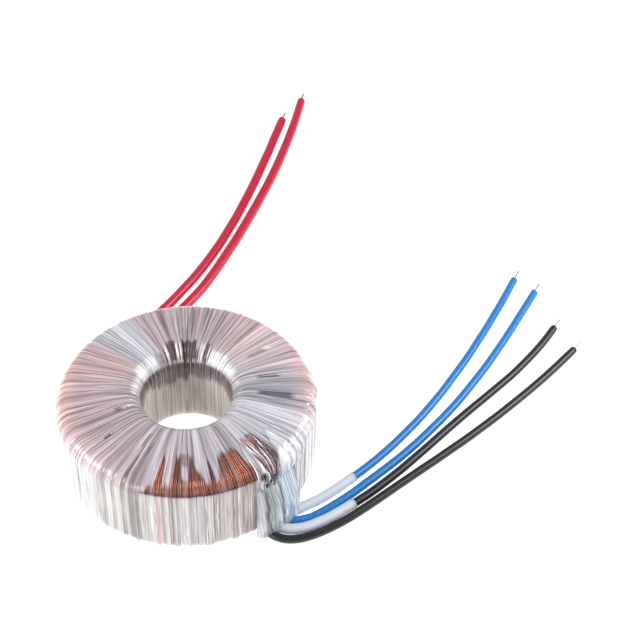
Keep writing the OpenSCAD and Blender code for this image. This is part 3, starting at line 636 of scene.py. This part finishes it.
def flap():
    """The loose film that runs from the front exit over the top edge."""
    w, s = np.meshgrid(np.linspace(0, 1, 110), np.linspace(27.5, 46.5, 90), indexing="ij")
    left = np.interp(s, [27.5, 33, 36, 41, 46.5], [-40, -45, -46.5, -51.5, -52])
    right_side = np.interp(s, [27.5, 33, 38, 42, 46.5], [-33, -27.5, -24.5, -27, -32])
    degrees = left + (right_side - left) * w
    phi = np.radians(degrees)
    wrinkle = 0.5 + 0.5 * ring_noise(phi + 0.012 * (s - 36), 300, 51)
    wrinkle = 0.6 * wrinkle + 0.4 * (0.5 + 0.5 * ring_noise(phi * 2 + s * 0.11, 60, 52))
    edges = ramp(w, 0, 0.06) * (1 - ramp(w, 0.8, 1)) * ramp(s, 27.5, 31) * (1 - ramp(s, 44.5, 46.5))
    lift = 0.08 + 0.45 * wrinkle * edges + 0.2 * np.exp(-((w - 0.03) / 0.05) ** 2)
    colour = blend(srgb(222, 221, 230), srgb(176, 182, 196), ramp(ring_noise(phi * 3, 90, 53), 0.25, 0.7))
    # A painted highlight: a band of near-white colour across the flap where it bends over the top edge
    painted_highlight = np.exp(-((s - 38.5) / 2.2) ** 2) * window(degrees, -47, -29, 3)
    colour = blend(colour, srgb(246, 247, 252), painted_highlight)
    haze = (0.35 + 0.6 * window(degrees, -48, -32, 4)) * (0.35 + 0.65 * edges)
    haze = haze * (0.85 + 0.15 * ring_noise(phi, 240, 54)) * (1 - ramp(w, 0.86, 1)) * ramp(s, 27.5, 29.5)
    tints = np.concatenate([np.clip(colour, 0, 1), np.clip(haze, 0, 1)[..., None]], -1)
    coordinate = np.stack([np.cos(phi) * 0.7, np.sin(phi) * 0.7, s * 0.05], -1)
    return sheet(on_ring(phi, s, lift), tints, coordinate)


def knot():
    """The folds of film that gather into a knot at the corner beside the front exit."""
    folds = []
    shades = [(92, 44, 50), (226, 214, 220), (120, 56, 58), (168, 134, 144), (78, 40, 46),
              (236, 232, 238), (104, 50, 52), (198, 176, 186), (86, 44, 52), (150, 96, 96)]
    # The knot's near-black folds are painted shade in its creases and its near-white ones painted
    # highlights; the dark red and pale lilac ones are the film's own colours
    knot_tones_and_painted_light = [(40, 38, 50), (240, 242, 250), (66, 44, 52), (206, 208, 220)]
    rough = np.random.default_rng(61)
    for k in range(20):
        share = k / 19
        start = (-57.5 + 11 * share + rough.uniform(-0.4, 0.4), rough.uniform(26.5, 31))
        end = (-55.5 + 4.5 * share + rough.uniform(-0.5, 0.5), rough.uniform(40.5, 43.5))
        folds.append(ribbon(start, end, rough.uniform(0.5, 0.95), rough.uniform(0.25, 0.7),
                            shades[k % len(shades)], 0.96, rough.uniform(-0.8, 0.8)))
    for k in range(16):
        start = (-58.5 + 8.5 * rough.random(), rough.uniform(38, 40.5))
        end = (start[0] + rough.uniform(-2.5, 2.5), start[1] + rough.uniform(4, 8))
        folds.append(ribbon(start, end, rough.uniform(0.5, 1.1), rough.uniform(0.5, 1.3),
                            knot_tones_and_painted_light[k % len(knot_tones_and_painted_light)],
                            0.98, rough.uniform(-1.5, 1.5)))
    # The white tongue of film beside it, and the edge of the last turn over the copper
    folds.append(ribbon((-58.3, 27), (-56.6, 41), 2.6, 0.3, (222, 218, 226), 0.9, -0.6))
    folds.append(ribbon((-60.2, 31), (-60.6, 41.5), 0.5, 0.4, (240, 236, 240)))
    folds.append(ribbon((-54, 35), (-47, 34.6), 0.5, 0.5, (244, 242, 248)))
    return folds


def dense(name):
    """Close points along the start of a lead."""
    path = np.array([v.co for v in leads[name].data.vertices]).reshape(-1, TUBE_SIDES, 3).mean(1)[:40]
    t = np.linspace(0, len(path) - 1, 12 * len(path))
    return np.stack([np.interp(t, np.arange(len(path)), path[:, k]) for k in range(3)], -1)


front_folds = [(-0.9, 0.06, (176, 184, 190)), (-0.7, 0.10, (26, 34, 52)), (-0.45, 0.13, (120, 134, 134)),
               (-0.22, 0.07, (204, 212, 218)), (-0.05, 0.04, (70, 82, 102)), (0.28, 0.2, (160, 180, 206)),
               (0.62, 0.1, (196, 208, 222)), (0.88, 0.06, (70, 80, 100))]
front_cover = film_piece(
    "front_exit_film", [blister(FRONT_EXIT, front_folds, 71), flap(), *knot()],
    [(dense("blue_1"), SLEEVE_R + 0.2 * MM), (dense("black_1"), SLEEVE_R + 0.2 * MM),
     (dense("blue_2"), LEAD_R + 0.2 * MM), (dense("black_2"), LEAD_R + 0.2 * MM)])
rear_folds = [(-0.5, 0.15, (180, 184, 196)), (0.1, 0.12, (226, 228, 234)), (0.6, 0.14, (168, 172, 186))]
rear_cover = film_piece(
    "rear_exit_film", [blister(REAR_EXIT, rear_folds, 81)],
    [(dense("red_1"), MAINS_LEAD_R + 0.2 * MM), (dense("red_2"), MAINS_LEAD_R + 0.2 * MM)])
curl = film_piece("film_curls", [
    ribbon((-162.4, 17), (-158.6, 19.5), 1.0, 0.8, (236, 206, 206)),
    ribbon((-161.5, 15.6), (-159.2, 18.6), 0.7, 0.6, (244, 232, 232)),
    ribbon((62.5, 12.4), (64, 19), 0.5, 0.5, (240, 232, 236)),
    ribbon((93.2, 12.2), (93.6, 19), 0.7, 0.4, (240, 224, 226)),
    ribbon((97.2, 12.2), (97.4, 18.5), 0.8, 0.4, (238, 228, 232)),
    ribbon((108.6, 12.2), (108.4, 18.5), 0.8, 0.4, (236, 220, 222)),
    ribbon((-144.5, 26.5), (-143.6, 30), 0.7, 0.3, (120, 90, 96)),
])
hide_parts("front_exit_cover")
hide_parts("rear_exit_cover")
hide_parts("outer_wrap")
for piece in (front_cover, rear_cover, curl):
    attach(piece, "root")


# ---- Materials ----

class Nodes:
    """A material's nodes, made one by one."""

    def __init__(self, name, **inputs):
        self.material = bpy.data.materials.new(name)
        self.material.use_nodes = True
        self.tree = self.material.node_tree
        self.shader = self.tree.nodes["Principled BSDF"]
        self.set(self.shader, inputs)

    def set(self, node, inputs):
        for key, value in inputs.items():
            socket = node.inputs[key]
            if isinstance(value, bpy.types.NodeSocket):
                self.tree.links.new(value, socket)
            elif socket.type == "RGBA" and len(value) == 3:
                socket.default_value = (*value, 1)
            else:
                socket.default_value = value

    def add(self, kind, settings=None, **inputs):
        node = self.tree.nodes.new(kind)
        for key, value in (settings or {}).items():
            setattr(node, key, value)
        self.set(node, {int(k[1:]) if k[0] == "_" else k: v for k, v in inputs.items()})
        return node

    def math(self, operation, a, b=0.0, clamp=False):
        return self.add("ShaderNodeMath", {"operation": operation, "use_clamp": clamp},
                        _0=a, _1=b).outputs[0]

    def mix(self, factor, a, b):
        node = self.add("ShaderNodeMix", {"data_type": "RGBA"})
        self.set(node, {0: factor, 6: a, 7: b})
        return node.outputs[2]

    def grey(self, value):
        """The same value three times, as a vector."""
        return self.add("ShaderNodeCombineXYZ", _0=value, _1=value, _2=value).outputs[0]

    def scaled(self, vector, scale):
        return self.add("ShaderNodeVectorMath", {"operation": "MULTIPLY"},
                        _0=vector, _1=scale).outputs[0]

    def noise(self, vector, scale=1.0, detail=2.0, roughness=0.5):
        node = self.add("ShaderNodeTexNoise", Vector=vector, Scale=scale, Detail=detail,
                        Roughness=roughness)
        return node.outputs["Fac"]

    def spread(self, value, low, high, to_low=0.0, to_high=1.0):
        """value carried from low..high to to_low..to_high, and kept within them."""
        node = self.add("ShaderNodeMapRange", {"clamp": True})
        self.set(node, {0: value, 1: low, 2: high, 3: to_low, 4: to_high})
        return node.outputs[0]

    def bump(self, height, distance, strength=1.0):
        node = self.add("ShaderNodeBump", Height=height, Distance=distance, Strength=strength)
        self.set(self.shader, {"Normal": node.outputs[0]})

    def object_place(self):
        return self.add("ShaderNodeTexCoord").outputs["Object"]


def film_material():
    """Film over the windings: streaks that run with its turns, over the stored colour and haze."""
    m = Nodes("wrap_film", Roughness=0.24)
    wound = m.add("ShaderNodeAttribute", {"attribute_name": "wound"}).outputs["Vector"]
    tint = m.add("ShaderNodeAttribute", {"attribute_name": "tint"})
    fine = m.noise(m.scaled(wound, (50, 50, 1.3)), 1, 2, 0.6)
    middle = m.noise(m.scaled(wound, (25, 25, 0.9)), 1, 2, 0.6)
    hair = m.noise(m.scaled(wound, (92, 92, 2.0)), 1, 2, 0.6)
    streak = m.math("ADD", m.math("MULTIPLY", fine, 0.55), m.math("MULTIPLY", middle, 0.45))
    shade = m.spread(streak, 0.36, 0.64, 0.60, 1.28)
    dark = m.spread(hair, 0.32, 0.43, 0.55, 1.0)
    base = m.scaled(tint.outputs["Color"], m.grey(m.math("MULTIPLY", shade, dark)))
    base = m.mix(m.spread(hair, 0.58, 0.68, 0, 0.75), base, (0.90, 0.88, 0.92))
    haze = m.math("MULTIPLY", tint.outputs["Alpha"], m.spread(streak, 0.36, 0.52, 0.72, 1.06), True)
    m.set(m.shader, {"Base Color": base, "Alpha": haze})
    m.set(m.shader, {"Coat Weight": 0.5, "Coat Roughness": 0.12, "IOR": 1.55})
    m.bump(m.math("ADD", fine, m.math("MULTIPLY", hair, 0.4)), 0.12 * MM, 0.6)
    return m.material


def copper_material(name, base, dark, in_hole):
    """Enamelled copper; in_hole is its colour in the shade of the hole's edge."""
    m = Nodes(name, Metallic=0.75, Roughness=0.3)
    place = m.object_place()
    flat = m.scaled(place, (1, 1, 0))
    out = m.add("ShaderNodeVectorMath", {"operation": "LENGTH"}, _0=flat).outputs["Value"]
    around = m.add("ShaderNodeVectorMath", {"operation": "NORMALIZE"}, _0=flat).outputs[0]
    tone = m.math("ADD", m.math("MULTIPLY", m.noise(m.scaled(around, (46, 46, 0)), 1, 2, 0.6), 0.7),
                  m.math("MULTIPLY", m.noise(place, 900, 3, 0.6), 0.3))
    colour = m.mix(m.spread(tone, 0.40, 0.62), dark, base)
    m.set(m.shader, {"Base Color": m.mix(m.spread(out, 0.019, 0.024), in_hole, colour),
                     "Coat Weight": 0.8, "Coat Roughness": 0.08})
    return m.material


def plastic_material(name, base, shade, roughness, grain=900.0, bump=0.01 * MM):
    m = Nodes(name, Roughness=roughness)
    place = m.object_place()
    tone = m.noise(place, grain, 3, 0.6)
    m.set(m.shader, {"Base Color": m.mix(m.spread(tone, 0.3, 0.7), shade, base)})
    m.bump(m.noise(place, 4 * grain, 2, 0.5), bump, 0.5)
    return m.material


def tinned_material():
    m = Nodes("tinned", Metallic=1.0)
    tone = m.noise(m.object_place(), 2500, 3, 0.6)
    m.set(m.shader, {"Base Color": m.mix(tone, (0.55, 0.55, 0.57), (0.85, 0.85, 0.86)),
                     "Roughness": m.spread(tone, 0.3, 0.7, 0.22, 0.42)})
    return m.material


def give(piece, material):
    piece.data.materials.clear()
    piece.data.materials.append(material)


wrap_film = film_material()
for piece in (film, curl, front_cover, rear_cover):
    give(piece, wrap_film)
give(wire, copper_material("enamelled_copper", (0.60, 0.14, 0.04), (0.13, 0.03, 0.018),
                           (0.12, 0.035, 0.03)))
LEAD_COLOURS = {
    "red": ((0.56, 0.010, 0.048), (0.44, 0.007, 0.036)),
    "blue": ((0.012, 0.21, 0.60), (0.01, 0.17, 0.5)),
    "black": ((0.012, 0.013, 0.017), (0.008, 0.009, 0.012)),
}
lead_materials = {c: plastic_material(c + "_pvc", *tones, 0.33) for c, tones in LEAD_COLOURS.items()}
tinned = tinned_material()
white_pvc = plastic_material("white_sleeving", (0.70, 0.73, 0.81), (0.64, 0.67, 0.76), 0.4)
for lead_name, lead in leads.items():
    give(lead, lead_materials[lead_name.split("_")[0]])
    give(lead_ends[lead_name], tinned)
for sleeve in sleeves.values():
    give(sleeve, white_pvc)

CAD_MATERIALS = {
    "core": ("strip_steel", (0.36, 0.37, 0.39), (0.28, 0.29, 0.31), 0.4),
    "core_insulation": ("insulation_tape", (0.85, 0.82, 0.7), (0.78, 0.75, 0.63), 0.6),
    "primary_winding": ("primary_copper", (0.5, 0.17, 0.07), (0.36, 0.1, 0.04), 0.3),
    "film_barrier": ("barrier_film", (0.82, 0.78, 0.55), (0.75, 0.7, 0.48), 0.3),
    "secondary_winding_1": ("secondary_copper", (0.55, 0.18, 0.07), (0.4, 0.11, 0.04), 0.3),
    "secondary_film": ("layer_film", (0.45, 0.2, 0.12), (0.3, 0.12, 0.07), 0.25),
    "front_joint_pad": ("joint_pad", (0.85, 0.75, 0.3), (0.78, 0.68, 0.25), 0.5),
    "primary_joints": ("solder", (0.66, 0.66, 0.68), (0.5, 0.5, 0.52), 0.3),
}
for node_name, (material_name, base, shade, roughness) in CAD_MATERIALS.items():
    give(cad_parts[node_name], plastic_material(material_name, base, shade, roughness, 600))
for node_name, source in (("rear_joint_pad", "front_joint_pad"), ("secondary_1_joints", "primary_joints"),
                          ("secondary_2_joints", "primary_joints")):
    give(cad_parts[node_name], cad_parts[source].data.materials[0])


# ---- Floor and light ----

def area_light(name, at, target, size, power):
    light = bpy.data.lights.new(name, "AREA")
    light.shape, light.size, light.size_y = "RECTANGLE", *size
    light.energy = power
    lamp = bpy.data.objects.new(name, light)
    lamp.location = at
    lamp.rotation_euler = (Vector(target) - Vector(at)).to_track_quat("-Z", "Y").to_euler()
    bpy.context.scene.collection.objects.link(lamp)


floor = mesh_piece("floor", [(-3, -3, 0), (3, -3, 0), (3, 3, 0), (-3, 3, 0)], [(0, 1, 2, 3)], False)
floor.location.z = -0.1 * MM
floor_look = Nodes("floor", Roughness=0.9)
floor_tone = floor_look.noise(floor_look.object_place(), 3, 2, 0.5)
floor_look.set(floor_look.shader, {
    "Base Color": floor_look.mix(floor_tone, (0.70, 0.70, 0.70), (0.72, 0.72, 0.72)),
    "Emission Color": (1, 1, 1, 1), "Emission Strength": 0.8})     # a light table
give(floor, floor_look.material)

world = bpy.data.worlds.new("studio")
world.use_nodes = True
world.node_tree.nodes["Background"].inputs["Color"].default_value = (1, 1, 1, 1)
world.node_tree.nodes["Background"].inputs["Strength"].default_value = 0.5
bpy.context.scene.world = world
centre = (0, 0, 0.015)
area_light("left_box", (-0.52, -0.06, 0.30), centre, (0.30, 0.34), 2.6)
area_light("right_box", (0.50, 0.06, 0.36), centre, (0.28, 0.30), 2.4)
area_light("left_front_strip", (-0.36, -0.44, 0.20), centre, (0.10, 0.26), 0.7)

view = bpy.context.scene.view_settings
view.view_transform = "Standard"
